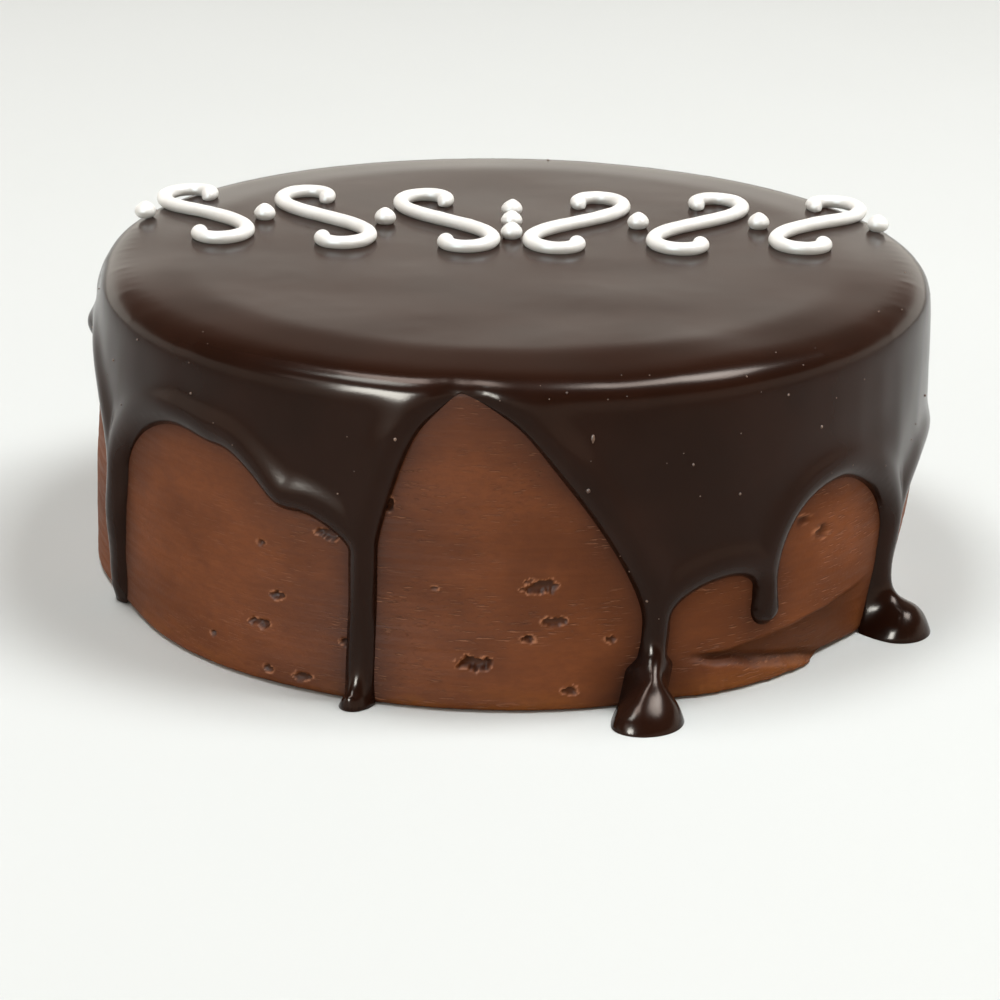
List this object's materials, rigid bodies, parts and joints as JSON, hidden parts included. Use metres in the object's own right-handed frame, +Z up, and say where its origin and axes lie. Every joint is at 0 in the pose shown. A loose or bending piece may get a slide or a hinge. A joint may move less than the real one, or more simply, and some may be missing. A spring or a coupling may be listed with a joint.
{
  "type": "chocolate cake",
  "caption": "Round frosted chocolate cake under a dark chocolate glaze that runs down its side in drips, with white icing scrolls piped across the top.",
  "frame": {"origin": "middle of the cake's flat underside, on the surface that it stands on", "axes": "+Z up, -Y towards the front that the picture shows, +X to its right"},
  "size_m": [0.2298, 0.2529, 0.0906],
  "materials": {
    "buttercream": "milk chocolate buttercream, matt, spatula-smoothed with small torn pits",
    "ganache": "set dark chocolate glaze, semi-gloss",
    "icing": "white piped icing, satin"
  },
  "bodies": {
    "root": {"frosted_cake": "buttercream", "ganache_glaze": "ganache", "icing_scroll_1": "icing", "icing_scroll_2": "icing", "icing_scroll_3": "icing", "icing_scroll_4": "icing", "icing_scroll_5": "icing", "icing_scroll_6": "icing", "icing_pearl_1": "icing", "icing_pearl_2": "icing", "icing_pearl_3": "icing", "icing_pearl_4": "icing", "icing_pearl_5": "icing", "icing_pearl_6": "icing", "icing_pearl_7": "icing", "icing_pearl_8": "icing", "icing_pearl_9": "icing"}
  },
  "joints": []
}
